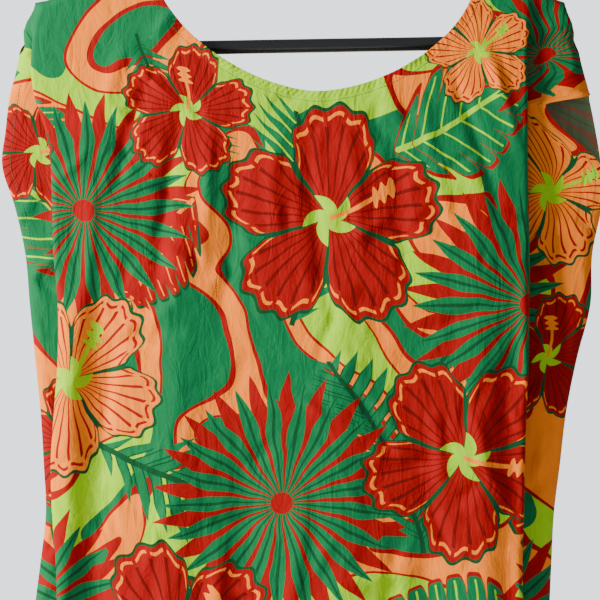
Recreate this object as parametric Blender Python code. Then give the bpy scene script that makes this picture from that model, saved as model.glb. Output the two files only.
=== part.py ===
"""A boxy printed pullover blouse with short cut-in-one sleeves, hung on a plain black hanger.

Units are metres and +Z is up. The origin is the top inside of the hanger's hook, where a rail holds
it, +X is the right of someone who looks at the blouse, and the front faces -Y.

The blouse is two straight-sided panels, front and back, joined over the shoulders and down the
sides. Each panel is worked out as a sheet of cloth: "across" is the distance along the cut cloth
from the neck's centre line, and "height" is where that point hangs. The cloth that is wider than
the blouse hangs is laid back on itself in one long fold at each side, which falls from the tip of
the hanger. The width of that fold is what is left over at each height.
"""

import math

import bpy
import numpy as np

# Cut sizes of the blouse
PANEL_HALF_WIDTH = 0.335
NECK_HALF_WIDTH = 0.150
NECK_DEPTH = 0.122
NECK_ROUNDNESS = 1.7
BACK_NECK_EXTRA = 0.008
NECK_CENTRE = 0.0216
HEM_HEIGHT = -0.790
HEM_SIDE_DROP = 0.034
SLEEVE_END = {"left": -0.215, "right": -0.232}
UNDERARM = {"left": -0.385, "right": -0.372}

# Cloth and seams
WALL = 0.0014
SEAM_GAP = 0.0003
FACING_WIDTH = 0.007
FACING_WALL = 0.0010
FACING_GAP = 0.0005
FACING_INSET = WALL / 2 + FACING_GAP + FACING_WALL / 2
NEARBY = 0.0001

# How the hanger and the cloth over it are shaped
ARM_TOP = -0.068
ARM_SLOPE = 0.24
ARM_BOW = 0.48
ARM_REACH = 0.226
ARM_THICKNESS = 0.0135
ARM_ROUND = 0.0055
TILT = 0.0175
BAR_HEIGHT = -0.190
BAR_RADIUS = 0.0065
BAR_REACH = 0.1764
RIDGE_RISE = FACING_INSET + FACING_WALL / 2 + 0.0007
RIDGE_ROUND = 0.0095
SIDE_ROUND = 0.012

# The hook
WIRE_RADIUS = 0.002
HOOK_INSIDE = 0.017
STEM_SINK = 0.0003

# The panels hang from here in front of and behind the hanger: height, front, back
STAND_OFF = (
    (-0.100, 0.0102, 0.0102),
    (-0.150, 0.0112, 0.0112),
    (-0.190, 0.0185, 0.0165),
    (-0.240, 0.0270, 0.0200),
    (-0.400, 0.0280, 0.0210),
    (-0.850, 0.0300, 0.0230),
)
# Cloth used up by each half turn of a side fold: height, front, back
TURN = (
    (-0.150, 0.0060, 0.0040),
    (-0.200, 0.0080, 0.0060),
    (-0.260, 0.0115, 0.0080),
    (-0.850, 0.0125, 0.0080),
)
# Where the blouse hangs: height, left outline, left fold, right fold, right outline
HUNG = (
    (-0.140, -0.2384, -0.2270, 0.2200, 0.2561),
    (-0.150, -0.2383, -0.2290, 0.2190, 0.2557),
    (-0.175, -0.2495, -0.2360, 0.2185, 0.2645),
    (-0.200, -0.2530, -0.2400, 0.2180, 0.2686),
    (-0.240, -0.2610, -0.2360, 0.2180, 0.2790),
    (-0.270, -0.2645, -0.2265, 0.2180, 0.2850),
    (-0.300, -0.2678, -0.2215, 0.2180, 0.2895),
    (-0.340, -0.2560, -0.2200, 0.2190, 0.2880),
    (-0.385, -0.2470, -0.2190, 0.2200, 0.2800),
    (-0.430, -0.2430, -0.2150, 0.2200, 0.2785),
    (-0.480, -0.2380, -0.2150, 0.2190, 0.2660),
    (-0.530, -0.2330, -0.2185, 0.2170, 0.2560),
    (-0.580, -0.2300, -0.2215, 0.2155, 0.2500),
    (-0.625, -0.2280, -0.2200, 0.2145, 0.2445),
    (-0.670, -0.2330, -0.2165, 0.2135, 0.2422),
    (-0.710, -0.2380, -0.2150, 0.2140, 0.2405),
    (-0.850, -0.2430, -0.2120, 0.2180, 0.2400),
)
# The shoulder line past the hanger's tip: height, cloth from the neck's centre on the left and right
SHOULDER = (
    (-0.150, 0.2600, 0.2345),
    (-0.175, 0.2730, 0.2460),
    (-0.200, 0.2950, 0.2680),
    (-0.215, 0.3350, 0.2880),
    (-0.232, 0.3350, 0.3350),
)
# Columns of the panels that follow the bends of that line: least cloth position on the left and
# right, and least share of the way from the side fold to the panel's edge
SHOULDER_COLUMNS = (
    (0.264, 0.240, 0.16),
    (0.276, 0.252, 0.34),
    (0.290, 0.270, 0.55),
    (0.308, 0.290, 0.78),
)
# The back's side folds lie this far in from the front's
BACK_FOLD_INSET = 0.014
LEAST_LAP = 0.002

# Largest hanging folds: across at the top and bottom, top and bottom height, half width, rise
FRONT_FOLDS = (
    (-0.222, -0.232, -0.40, -0.76, 0.011, 0.0060),
    (-0.196, -0.204, -0.38, -0.80, 0.014, -0.0065),
    (-0.120, -0.138, -0.30, -0.84, 0.020, 0.0045),
    (-0.060, -0.074, -0.52, -0.86, 0.018, -0.0050),
    (0.030, 0.022, -0.36, -0.86, 0.026, 0.0045),
    (0.098, 0.108, -0.50, -0.86, 0.017, -0.0045),
    (0.150, 0.158, -0.24, -0.80, 0.022, 0.0045),
    (0.176, 0.180, -0.42, -0.84, 0.012, -0.0040),
)
BACK_FOLDS = (
    (-0.170, -0.180, -0.24, -0.86, 0.022, 0.0050),
    (-0.095, -0.104, -0.34, -0.86, 0.018, -0.0045),
    (-0.020, -0.012, -0.28, -0.86, 0.026, 0.0050),
    (0.070, 0.078, -0.40, -0.86, 0.020, -0.0045),
    (0.135, 0.148, -0.24, -0.86, 0.022, 0.0050),
)

# The right sleeve's front edge is drawn in towards the shoulder
NOTCH_PULL = 0.036
NOTCH_BULGE = 0.003
NOTCH_START = 0.004
NOTCH_RISE = 0.020
NOTCH_FADE = 0.060
NOTCH_FROM = 0.240

PRINT_GREEN = (0.045, 0.28, 0.09)
HANGER_BLACK = (0.006, 0.006, 0.007)


def clear_scene():
    for obj in list(bpy.data.objects):
        bpy.data.objects.remove(obj, do_unlink=True)


def smooth(x):
    x = np.clip(x, 0.0, 1.0)
    return x * x * (3 - 2 * x)


def read(rows, column, height):
    """The column of a table at these heights, on a curve through its rows (Hermite, mean slopes)."""
    table = np.array(rows)[::-1]
    knots, values = table[:, 0], table[:, column]
    slopes = np.gradient(values, knots)
    height = np.clip(height, knots[0], knots[-1])
    k = np.clip(np.searchsorted(knots, height) - 1, 0, len(knots) - 2)
    step = knots[k + 1] - knots[k]
    s = (height - knots[k]) / step
    rise = (values[k + 1] - values[k]) * s * s * (3 - 2 * s)
    bend = step * s * (1 - s) * ((1 - s) * slopes[k] - s * slopes[k + 1])
    return values[k] + rise + bend


def round_over(distance, radius):
    """0 at the edge, rising to 1 as a quarter circle."""
    s = np.clip(distance / radius, 0.0, 1.0)
    return np.sqrt(1 - (1 - s) ** 2)


def arm_top(x):
    return ARM_TOP - ARM_SLOPE * np.abs(x) - ARM_BOW * x * x + TILT * x


def shoulder_line(across):
    """The height of the shoulder seam: along the hanger's arm, then falling to the sleeve's end."""
    on_arm = arm_top(across + NECK_CENTRE) + RIDGE_RISE
    heights = [row[0] for row in SHOULDER]
    left = np.interp(-across, [row[1] for row in SHOULDER[:4]], heights[:4])
    right = np.interp(across, [row[2] for row in SHOULDER], heights)
    past_tip = np.where(across < 0, left, right)
    started = np.where(across < 0, -SHOULDER[0][1], SHOULDER[0][2])
    reach = np.where(across < 0, -ARM_REACH, ARM_REACH) - NECK_CENTRE
    tip = arm_top(reach + NECK_CENTRE) + RIDGE_RISE
    bridge = np.clip((across - reach) / (started - reach), 0, 1)
    over_bridge = tip + (SHOULDER[0][0] - tip) * bridge
    outside = np.abs(across) > np.abs(started)
    return np.where(outside, past_tip, np.where(np.abs(across) > np.abs(reach), over_bridge, on_arm))


def neck_line(across, face, grow=0.0):
    """The height of the neck's edge: a superellipse hung from just below the two shoulder seams."""
    half = NECK_HALF_WIDTH + grow
    depth = NECK_DEPTH + grow + (BACK_NECK_EXTRA if face == "back" else 0.0) - RIDGE_ROUND
    corner_left = shoulder_line(np.array(-half)) - RIDGE_ROUND
    corner_right = shoulder_line(np.array(half)) - RIDGE_ROUND
    share = np.clip((across / half + 1) / 2, 0, 1)
    corner = corner_left + (corner_right - corner_left) * share
    ratio = np.clip(np.abs(across) / half, 0, 1)
    return corner - depth * (1 - ratio**NECK_ROUNDNESS) ** (1 / NECK_ROUNDNESS)


def fold_shape(face, across, height):
    """Where a side fold starts, its half turn, its turning angle and the cloth between its turns."""
    turn = read(TURN, 1 if face == "front" else 2, height)
    left = across < 0
    hung = np.where(left, NECK_CENTRE - read(HUNG, 1, height), read(HUNG, 4, height) - NECK_CENTRE)
    edge = np.where(left, NECK_CENTRE - read(HUNG, 2, height), read(HUNG, 3, height) - NECK_CENTRE)
    if face == "back":
        edge = edge - BACK_FOLD_INSET
    cut_left = np.interp(-height, [-row[0] for row in SHOULDER], [row[1] for row in SHOULDER])
    cut_right = np.interp(-height, [-row[0] for row in SHOULDER], [row[2] for row in SHOULDER])
    cut = np.where(left, cut_left, cut_right)
    lap = np.maximum((cut - hung) / 2, 0.0)
    flat = np.maximum(lap - turn, LEAST_LAP)
    angles = np.linspace(1e-3, math.pi, 200)
    share = 1 - np.sin(angles) / angles
    angle = np.interp(lap / turn, share, angles)
    start = edge - turn / math.pi
    return start, turn, angle, flat


def across_fold(face, across, height):
    """Distance out from the neck's centre, and how far back the side fold has carried the cloth.

    The cloth runs straight to the fold, round an arc through the turning angle, straight on, round
    an arc back to its first direction, and straight out to its edge.
    """
    start, turn, angle, flat = fold_shape(face, across, height)
    radius = turn / angle
    run = np.abs(across)
    first = np.clip(run - start, 0, turn)
    middle = np.clip(run - start - turn, 0, flat)
    second = np.clip(run - start - turn - flat, 0, turn)
    rest = np.maximum(run - start - 2 * turn - flat, 0)
    left_over = angle - second / radius
    out = np.minimum(run, start) + radius * np.sin(first / radius) + middle * np.cos(angle)
    out = out + radius * (np.sin(angle) - np.sin(left_over)) + rest
    back = radius * (1 - np.cos(first / radius)) + middle * np.sin(angle)
    back = back + radius * (np.cos(left_over) - np.cos(angle))
    return np.where(across < 0, -out, out), back


def sleeve_gape(across, height):
    """1 where the sleeve's front and back edges stand apart, 0 where they are joined."""
    top = np.where(across < 0, SLEEVE_END["left"], SLEEVE_END["right"])
    low = np.where(across < 0, UNDERARM["left"], UNDERARM["right"])
    sudden = np.where(across < 0, 0.022, 0.007)
    opened = smooth((top - height) / sudden) * smooth((height - low) / 0.045)
    return opened * np.where(across < 0, 0.75, 1.0)


def hanging_folds(rows, across, height):
    """The sum of soft ridges: each a bell across and a smooth start and end up and down."""
    total = np.zeros_like(across * height)
    for top_at, low_at, top, low, half_width, rise in rows:
        share = np.clip((top - height) / (top - low), 0, 1)
        centre = top_at + (low_at - top_at) * share
        bell = np.exp(-(((across - centre) / half_width) ** 2))
        window = smooth((top - height) / 0.09) * smooth((height - low) / 0.05 + 0.35)
        total = total + rise * bell * window
    return total


def hung_point(face, across, height):
    """A point of the panel's middle surface, from its place on the cut cloth and its height."""
    front = face == "front"
    out, back = across_fold(face, across, height)
    below = shoulder_line(across) - height
    stand = read(STAND_OFF, 1 if front else 2, height) - back
    relief = hanging_folds(FRONT_FOLDS if front else BACK_FOLDS, across, height)
    from_edge = PANEL_HALF_WIDTH - np.abs(across)
    gape = sleeve_gape(across, height)
    closed_side = round_over(from_edge, SIDE_ROUND)
    side = closed_side + (1 - closed_side) * gape
    fade = smooth(below / 0.05)
    depth = SEAM_GAP / 2 + (stand + relief * fade) * round_over(below, RIDGE_ROUND) * side
    x = NECK_CENTRE + out
    if front:
        drop = SLEEVE_END["right"] - NOTCH_START - height
        pull = smooth(drop / NOTCH_RISE) * (1 - smooth((drop - NOTCH_RISE) / NOTCH_FADE))
        pull = pull * smooth((across - NOTCH_FROM) / (PANEL_HALF_WIDTH - NOTCH_FROM))
        x = x - NOTCH_PULL * pull
        depth = depth + NOTCH_BULGE * pull
    return np.stack([x, -depth if front else depth, height + 0 * x], axis=-1)


def neck_across(grow):
    """Cloth positions along the neck's edge, from left to right, wide apart at its steep ends."""
    turned = np.concatenate([[0.0], np.linspace(0.20, math.pi - 0.20, 19), [math.pi]])[::-1]
    cosine = np.cos(turned)
    return (NECK_HALF_WIDTH + grow) * np.sign(cosine) * np.abs(cosine) ** (2 / NECK_ROUNDNESS)


def side_columns(face, side, height):
    """Cloth positions of the columns from the neck's corner to the panel's edge on one side."""
    sign = -1.0 if side == "left" else 1.0
    start, turn, _, flat = fold_shape(face, np.full_like(height, sign), height)
    inner = NECK_HALF_WIDTH
    beyond = start + 2 * turn + flat
    outer = PANEL_HALF_WIDTH - SIDE_ROUND
    parts = [inner + (start - inner) * k for k in (0.35, 0.70, 1.0)]
    parts += [start + turn * k for k in (0.25, 0.5, 0.75, 1.0)]
    parts += [start + turn + flat + turn * k for k in (0.0, 0.25, 0.5, 0.75, 1.0)]
    for left_knot, right_knot, share in SHOULDER_COLUMNS:
        knot = left_knot if side == "left" else right_knot
        parts.append(np.maximum(knot, beyond + (outer - beyond) * share))
    parts += [outer + SIDE_ROUND * math.sin(math.radians(k)) for k in (0, 30, 55, 75, 90)]
    return [sign * (part + 0 * height) for part in parts]


def hung_normal(face, across, height):
    """The unit normal of the panel's middle surface at a point, from the points just round it."""
    down = hung_point(face, across, height - NEARBY) - hung_point(face, across, height + NEARBY)
    along = hung_point(face, across + NEARBY, height) - hung_point(face, across - NEARBY, height)
    return unit(np.cross(down, along))


def panel_grid(face):
    """The panel's middle surface in rows from the top edge to the hem, its normals, and which cells
    are cloth.

    The first rows turn over the shoulders. Between the shoulders the neck is cut out of them.
    """
    neck = neck_across(0.0)
    side = len(side_columns(face, "left", np.array([-0.3])))
    count = 2 * side + len(neck)

    def place(height):
        left = side_columns(face, "left", height[:side][::-1].copy())
        right = side_columns(face, "right", height[-side:].copy())
        left_line = np.array([left[k][k] for k in range(side)])[::-1]
        right_line = np.array([right[k][k] for k in range(side)])
        return np.concatenate([left_line, neck, right_line])

    # A column's place depends on its height, and its top on its place, so the two are settled in turn.
    top = np.full(count, -0.18)
    for _ in range(60):
        across = place(top)
        in_neck = np.abs(across) < NECK_HALF_WIDTH - 1e-6
        edge = np.where(in_neck, neck_line(across, face) + RIDGE_ROUND, shoulder_line(across))
        top = 0.5 * top + 0.5 * edge
    hem = HEM_HEIGHT - HEM_SIDE_DROP * smooth(np.abs(across) / PANEL_HALF_WIDTH)
    drops = [RIDGE_ROUND * (1 - math.cos(math.radians(k))) for k in (0, 25, 45, 65, 90)]
    shares = np.linspace(0, 1, 22)[1:] ** 1.3
    heights = [top - drop for drop in drops]
    heights += [(top - RIDGE_ROUND) + (hem - top + RIDGE_ROUND) * share for share in shares]
    grid = np.array([hung_point(face, place(height), height) for height in heights])
    normals = np.array([hung_normal(face, place(height), height) for height in heights])
    cloth = np.ones((len(heights) - 1, count - 1), bool)
    cloth[: len(drops) - 1, side : side + len(neck) - 1] = False
    return grid, normals, cloth


def unit(vectors):
    return vectors / np.linalg.norm(vectors, axis=-1, keepdims=True)


def ring_normals(ring):
    """Unit normals of a ring of points in rows, from the chords to their neighbours."""
    down = np.gradient(ring, axis=0)
    along = (np.roll(ring, -1, axis=1) - np.roll(ring, 1, axis=1)) / 2
    return unit(np.cross(down, along))


def seam_normals(grid, normals):
    """The panel's normals, with its joined edges square to the seam so that the gap stays even."""
    flat = np.array([1.0, 0.0, 1.0])
    ridge = np.abs(grid[0, :, 1]) < SEAM_GAP
    normals[0, ridge] = unit(normals[0, ridge] * flat)
    for column in (0, -1):
        joined = np.abs(grid[:, column, 1]) < SEAM_GAP
        normals[joined, column] = unit(normals[joined, column] * flat)
    return normals


def mesh_object(name, points, faces, colour, roughness):
    mesh = bpy.data.meshes.new(name)
    mesh.from_pydata([tuple(point) for point in points], [], faces)
    mesh.validate()
    mesh.shade_smooth()
    mesh.set_sharp_from_angle(angle=math.radians(50))
    obj = bpy.data.objects.new(name, mesh)
    bpy.context.scene.collection.objects.link(obj)
    mesh.materials.append(material(name, colour, roughness))
    return obj


def material(name, colour, roughness):
    made = bpy.data.materials.new(name + "_material")
    made.use_nodes = True
    shader = made.node_tree.nodes["Principled BSDF"]
    shader.inputs["Base Color"].default_value = (*colour, 1.0)
    shader.inputs["Roughness"].default_value = roughness
    shader.inputs["Metallic"].default_value = 0.0
    return made


def sheet_faces(grid, cloth):
    """Two triangles for each cell that is cloth, split on its shorter diagonal.

    The grid's points are numbered row by row. Both sides of a wall use the same split, so that they
    stay as far apart inside a cell as at its corners.
    """
    columns = grid.shape[1]
    points = grid.reshape(-1, 3)
    faces = []
    for r, c in zip(*np.nonzero(cloth)):
        low, following = (r + 1) * columns, (c + 1) % columns
        a, b, d = r * columns + c, low + c, r * columns + following
        e = low + following
        if np.linalg.norm(points[a] - points[e]) < np.linalg.norm(points[b] - points[d]):
            faces += [(a, b, e), (a, e, d)]
        else:
            faces += [(a, b, d), (b, e, d)]
    return faces


def rim_edges(faces):
    """The directed edges that have a face on one side only."""
    edges = {(face[k], face[(k + 1) % 3]) for face in faces for k in range(3)}
    return [edge for edge in edges if edge[::-1] not in edges]


def walled_sheet(name, grid, normals, wall, colour, cloth):
    """A closed solid: the grid moved half the wall out, its other side, and the rim between them."""
    faces = sheet_faces(grid, cloth)
    rims = sorted(rim_edges(faces))
    used = sorted({index for face in faces for index in face})
    place = {index: k for k, index in enumerate(used)}
    outer = (grid + normals * wall / 2).reshape(-1, 3)[used]
    inner = (grid - normals * wall / 2).reshape(-1, 3)[used]
    faces = [tuple(place[index] for index in face) for face in faces]
    size = len(used)
    solid = faces + [tuple(index + size for index in face[::-1]) for face in faces]
    solid += [(place[b], place[a], place[a] + size, place[b] + size) for a, b in rims]
    return mesh_object(name, np.vstack([outer, inner]), solid, colour, 0.85)


def make_panel(face):
    grid, normals, cloth = panel_grid(face)
    if face == "back":
        grid, normals, cloth = grid[:, ::-1], -normals[:, ::-1], cloth[:, ::-1]
    return walled_sheet(face, grid, seam_normals(grid, normals), WALL, PRINT_GREEN, cloth)


def facing_line(face, grow):
    """The neck's edge on one panel, moved into the panel by the distance grow, seam to seam."""
    neck = neck_across(grow)
    height = neck_line(neck, face, grow)
    over = [RIDGE_ROUND * math.cos(math.radians(k)) for k in (0, 25, 45, 65)]
    across = np.concatenate([neck[:1].repeat(len(over)), neck, neck[-1:].repeat(len(over))])
    height = np.concatenate([height[0] + over, height, (height[-1] + over)[::-1]])
    points = hung_point(face, across, height)
    points[[0, -1], 1] = 0.0
    return points if face == "front" else points[::-1]


def make_facing():
    """The narrow strip turned in behind the neck's edge, one ring over both shoulders."""
    rows = []
    for step in (0.0002, FACING_WIDTH / 2, FACING_WIDTH):
        rows.append(np.concatenate([facing_line("front", step), facing_line("back", step)[1:-1]]))
    ring = np.array(rows)
    normals = ring_normals(ring)
    cloth = np.ones((len(rows) - 1, ring.shape[1]), bool)
    ring = ring - normals * FACING_INSET
    return walled_sheet("neck_facing", ring, normals, FACING_WALL, PRINT_GREEN, cloth)


# Half of the arms' outline: distance from the middle, underside, drop of the top, share of thickness
ARM_OUTLINE = (
    (0.000, -0.106, 0.000, 1.00),
    (0.030, -0.112, 0.000, 1.00),
    (0.060, -0.119, 0.000, 1.00),
    (0.095, -0.127, 0.000, 1.00),
    (0.130, -0.135, 0.000, 1.00),
    (0.160, -0.1445, 0.000, 1.00),
    (0.1755, -0.1530, 0.000, 1.00),
    (0.1764, -0.176, 0.000, 1.00),
    (0.1769, -0.198, 0.000, 1.00),
    (0.200, -0.202, 0.001, 0.86),
    (0.212, -0.198, 0.003, 0.64),
    (0.221, -0.186, 0.008, 0.50),
    (0.226, -0.172, 0.017, 0.36),
)


def rounded_section(x, top, low, thickness):
    """Points round a section of the arm at x, a rectangle with rounded corners."""
    half = thickness / 2
    radius = min(ARM_ROUND, half * 0.8)
    corners = (
        (half - radius, top - radius, 0),
        (-half + radius, top - radius, 90),
        (-half + radius, low + radius, 180),
        (half - radius, low + radius, 270),
    )
    turns = [(y, z, math.radians(first + step)) for y, z, first in corners for step in (0, 45, 90)]
    return [(x, y + radius * math.cos(a), z + radius * math.sin(a)) for y, z, a in turns]


def make_arms():
    """Both arms in one piece: sections from the left tip to the right tip, capped."""
    stations = [(-row[0], *row[1:]) for row in ARM_OUTLINE[:0:-1]] + list(ARM_OUTLINE)
    sections = []
    for x, low, drop, share in stations:
        top = float(arm_top(np.array(x))) - drop
        sections.append(rounded_section(x, top, low + TILT * x, ARM_THICKNESS * share))
    size = len(sections[0])
    points = [point for section in sections for point in section]
    faces = []
    for s in range(len(sections) - 1):
        for k in range(size):
            a, b = s * size + k, s * size + (k + 1) % size
            faces.append((a, b, b + size, a + size))
    faces.append(tuple(range(size))[::-1])
    faces.append(tuple((len(sections) - 1) * size + k for k in range(size)))
    return mesh_object("hanger_arms", points, faces, HANGER_BLACK, 0.4)


def make_bar():
    """The round bar between the arms."""
    sides = 20
    reach = BAR_REACH - SEAM_GAP
    points = []
    for x in (-reach, reach):
        for k in range(sides):
            a = 2 * math.pi * k / sides
            z = BAR_HEIGHT + TILT * x + BAR_RADIUS * math.sin(a)
            points.append((x, BAR_RADIUS * math.cos(a), z))
    faces = [(k, (k + 1) % sides, sides + (k + 1) % sides, sides + k) for k in range(sides)]
    faces += [tuple(range(sides))[::-1], tuple(range(sides, 2 * sides))]
    return mesh_object("hanger_bar", points, faces, HANGER_BLACK, 0.4)


def make_hook():
    """A wire: up from the arms, round the right of the rail, over its top and down its left."""
    centre = -HOOK_INSIDE
    ring = HOOK_INSIDE + WIRE_RADIUS
    path = [(0.0, ARM_TOP + STEM_SINK), (0.0, -0.0560), (0.0008, -0.0475), (0.0040, -0.0400)]
    for turned in np.radians(np.linspace(-58, 200, 19)):
        path.append((ring * math.cos(turned), centre + ring * math.sin(turned)))
    curve = bpy.data.curves.new("hanger_hook", "CURVE")
    curve.dimensions = "3D"
    curve.bevel_depth = WIRE_RADIUS
    curve.bevel_resolution = 2
    curve.use_fill_caps = True
    spline = curve.splines.new("POLY")
    spline.points.add(len(path) - 1)
    for point, (x, z) in zip(spline.points, path):
        point.co = (x, 0.0, z, 1.0)
    obj = bpy.data.objects.new("hanger_hook", curve)
    bpy.context.scene.collection.objects.link(obj)
    curve.materials.append(material("hanger_hook", HANGER_BLACK, 0.35))
    return obj


clear_scene()
make_panel("front")
make_panel("back")
make_facing()
make_arms()
make_bar()
make_hook()
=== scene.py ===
# %% [markdown]
# # A printed cotton blouse on a coat hanger
#
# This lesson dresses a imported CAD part: a boxy pullover blouse that hangs on a black coat hanger.
# The frame is loaded first. It is the part that the physics uses, in metres, with +Z up and the
# origin at the top inside of the hanger's hook. Everything made below sits in that frame.

# %% load the frame
import math
from functools import partial

import bpy
import numpy as np
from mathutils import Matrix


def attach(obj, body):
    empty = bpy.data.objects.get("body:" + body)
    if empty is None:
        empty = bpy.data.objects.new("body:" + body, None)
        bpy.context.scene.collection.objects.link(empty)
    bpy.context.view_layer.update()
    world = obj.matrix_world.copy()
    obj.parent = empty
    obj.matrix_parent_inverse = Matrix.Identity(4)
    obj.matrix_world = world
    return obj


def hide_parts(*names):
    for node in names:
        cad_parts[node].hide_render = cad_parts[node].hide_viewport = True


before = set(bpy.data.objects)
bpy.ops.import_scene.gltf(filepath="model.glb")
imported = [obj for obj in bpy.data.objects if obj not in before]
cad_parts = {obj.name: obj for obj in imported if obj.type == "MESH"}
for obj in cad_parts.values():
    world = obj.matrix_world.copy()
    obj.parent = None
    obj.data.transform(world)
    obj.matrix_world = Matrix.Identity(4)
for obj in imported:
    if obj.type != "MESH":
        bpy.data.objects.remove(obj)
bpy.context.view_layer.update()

# %% [markdown]
# ## The camera
#
# The photograph is a close, level view from straight ahead. It cuts off the hook, the shoulders'
# tops and the hem. A long lens from 2.5 m gives the same flat look and the same frame:
# 0.552 m of cloth across the picture's width.

# %% camera
FRAME_WIDTH = 0.552
FRAME_CENTRE = (0.0083, -0.4264)
CLOTH_FRONT = -0.030
CAMERA_DISTANCE = 2.5
SENSOR_WIDTH_MM = 36

camera_data = bpy.data.cameras.new("camera")
camera_data.sensor_width = SENSOR_WIDTH_MM
camera_data.lens = SENSOR_WIDTH_MM * CAMERA_DISTANCE / FRAME_WIDTH
camera = bpy.data.objects.new("camera", camera_data)
camera.location = (FRAME_CENTRE[0], CLOTH_FRONT - CAMERA_DISTANCE, FRAME_CENTRE[1])
camera.rotation_euler = (math.pi / 2, 0, 0)
bpy.context.scene.collection.objects.link(camera)
bpy.context.scene.camera = camera
print("lens", round(camera_data.lens, 1), "mm")

# %% [markdown]
# ## From arrays to meshes
#
# Every new piece is worked out with numpy as a grid of points. Blender could grow such shapes from
# primitives and modifiers, but a formula on a grid can follow the CAD's own sizes exactly. Two
# helpers turn a grid into a mesh: one numbers the corners of its quads, one makes the object.

# %% grid to mesh


def grid_quads(rows, columns, closed=False):
    """Corner numbers of the quads of a grid of points, which may close on itself along its rows."""
    r, c = np.meshgrid(np.arange(rows - 1), np.arange(columns if closed else columns - 1), indexing="ij")
    after = (c + 1) % columns
    low, high = r * columns, (r + 1) * columns
    return np.stack([low + c, high + c, high + after, low + after], -1)


def new_piece(name, points, faces):
    """A smooth mesh object in the scene, from an array of points and the corners of each face."""
    mesh = bpy.data.meshes.new(name)
    mesh.from_pydata(points.reshape(-1, 3).tolist(), [], faces)
    mesh.shade_smooth()
    made = bpy.data.objects.new(name, mesh)
    bpy.context.scene.collection.objects.link(made)
    print(name, len(faces), "faces")
    return made


def cloth_piece(name, grid, flat, cells=None, closed=False, values=()):
    """A sheet of cloth from a grid of points. Its flat positions become a UV map, and values are
    (name, array) pairs kept as point attributes. A mask of cells says which quads are cloth."""
    quads = grid_quads(*grid.shape[:2], closed)
    quads = quads.reshape(-1, 4) if cells is None else quads[cells]
    used, index = np.unique(quads, return_inverse=True)
    made = new_piece(name, grid.reshape(-1, 3)[used], index.reshape(-1, 4).tolist())
    mesh = made.data
    corners = np.empty(len(mesh.loops), np.int32)
    mesh.loops.foreach_get("vertex_index", corners)
    layer = mesh.uv_layers.new(name="flat_cloth")
    layer.data.foreach_set("uv", flat.reshape(-1, 2)[used][corners].ravel().astype(np.float32))
    for label, array in values:
        attribute = mesh.attributes.new(label, "FLOAT", "POINT")
        attribute.data.foreach_set("value", array.reshape(-1)[used].astype(np.float32))
    return made


quads_tested = grid_quads(3, 4, closed=True)
print("a closed grid of 3 by 4 points has", quads_tested.size // 4, "quads")

# %% [markdown]
# ## How the cloth hangs
#
# Each panel is 67 cm wide, wider than the blouse hangs, so its spare width is laid back on itself in
# one long fold at each side, which falls from the tip of the hanger. A point is named by its place
# on the cut cloth: "across" is the distance from the neck's centre line and "height" is where it
# hangs. The sizes and tables are the CAD part's own, so the fine cloth lies on its solid. A cloth
# simulation could drape the panels too, but it would settle away from the solid that the physics
# uses, so the folds are worked out instead.

# %% sizes of the cut cloth
PANEL_HALF_WIDTH = 0.335
NECK_HALF_WIDTH = 0.150
NECK_DEPTH = 0.122
NECK_ROUNDNESS = 1.7
BACK_NECK_EXTRA = 0.008
NECK_CENTRE = 0.0216
HEM_HEIGHT = -0.790
HEM_SIDE_DROP = 0.034
SLEEVE_END = {"left": -0.215, "right": -0.232}
UNDERARM = {"left": -0.385, "right": -0.372}
SEAM_GAP = 0.0003
RIDGE_RISE = 0.0029
RIDGE_ROUND = 0.0095
SIDE_ROUND = 0.012
print("each panel is cut", 2 * PANEL_HALF_WIDTH, "m wide, with a neck", 2 * NECK_HALF_WIDTH, "m wide")

# %% sizes of the hanger's arms, which the shoulders lie on
ARM_TOP = -0.068
ARM_SLOPE = 0.24
ARM_BOW = 0.48
ARM_REACH = 0.226
TILT = 0.0175
print("the hanger is", 2 * ARM_REACH, "m wide")

# %% tables of the hanging cloth
# Distance in front of and behind the hanger: height, front, back
STAND_OFF = (
    (-0.100, 0.0102, 0.0102),
    (-0.150, 0.0112, 0.0112),
    (-0.190, 0.0185, 0.0165),
    (-0.240, 0.0270, 0.0200),
    (-0.400, 0.0280, 0.0210),
    (-0.850, 0.0300, 0.0230),
)
# Cloth used up by each half turn of a side fold: height, front, back
TURN = (
    (-0.150, 0.0060, 0.0040),
    (-0.200, 0.0080, 0.0060),
    (-0.260, 0.0115, 0.0080),
    (-0.850, 0.0125, 0.0080),
)
# Where the blouse hangs: height, left outline, left fold, right fold, right outline
HUNG = (
    (-0.140, -0.2384, -0.2270, 0.2200, 0.2561),
    (-0.150, -0.2383, -0.2290, 0.2190, 0.2557),
    (-0.175, -0.2495, -0.2360, 0.2185, 0.2645),
    (-0.200, -0.2530, -0.2400, 0.2180, 0.2686),
    (-0.240, -0.2610, -0.2360, 0.2180, 0.2790),
    (-0.270, -0.2645, -0.2265, 0.2180, 0.2850),
    (-0.300, -0.2678, -0.2215, 0.2180, 0.2895),
    (-0.340, -0.2560, -0.2200, 0.2190, 0.2880),
    (-0.385, -0.2470, -0.2190, 0.2200, 0.2800),
    (-0.430, -0.2430, -0.2150, 0.2200, 0.2785),
    (-0.480, -0.2380, -0.2150, 0.2190, 0.2660),
    (-0.530, -0.2330, -0.2185, 0.2170, 0.2560),
    (-0.580, -0.2300, -0.2215, 0.2155, 0.2500),
    (-0.625, -0.2280, -0.2200, 0.2145, 0.2445),
    (-0.670, -0.2330, -0.2165, 0.2135, 0.2422),
    (-0.710, -0.2380, -0.2150, 0.2140, 0.2405),
    (-0.850, -0.2430, -0.2120, 0.2180, 0.2400),
)
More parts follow.
